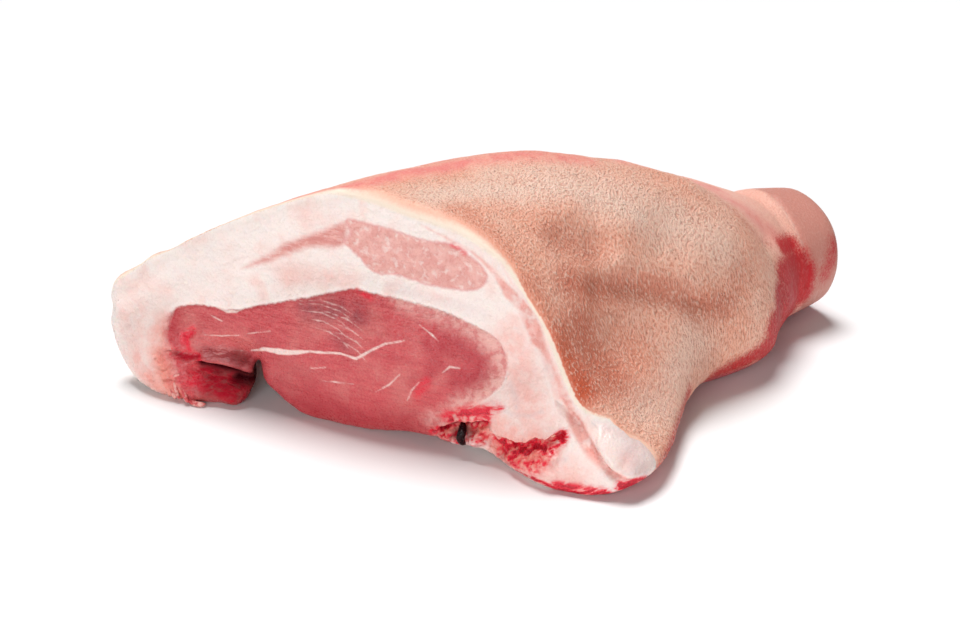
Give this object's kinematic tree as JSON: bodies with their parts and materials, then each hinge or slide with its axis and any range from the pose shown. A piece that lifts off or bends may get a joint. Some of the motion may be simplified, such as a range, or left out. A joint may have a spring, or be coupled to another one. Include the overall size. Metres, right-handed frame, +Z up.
{
  "type": "skin-on pork shoulder joint",
  "caption": "Raw skin-on pork shoulder joint with its shank: a domed, tapering piece with a flat sawn face of lean and fat, an elbow flap and a flat underside to lie on.",
  "frame": {"origin": "middle of the bounding box's footprint, at the height of the underside", "axes": "+X from the sawn face towards the shank, +Y from the elbow flap towards the breast lobe, +Z up"},
  "size_m": [0.287, 0.3404, 0.1303],
  "materials": {
    "pork": "raw pork, moist satin skin and a wet sawn face"
  },
  "bodies": {
    "root": {"pork_joint": "pork"}
  },
  "joints": []
}
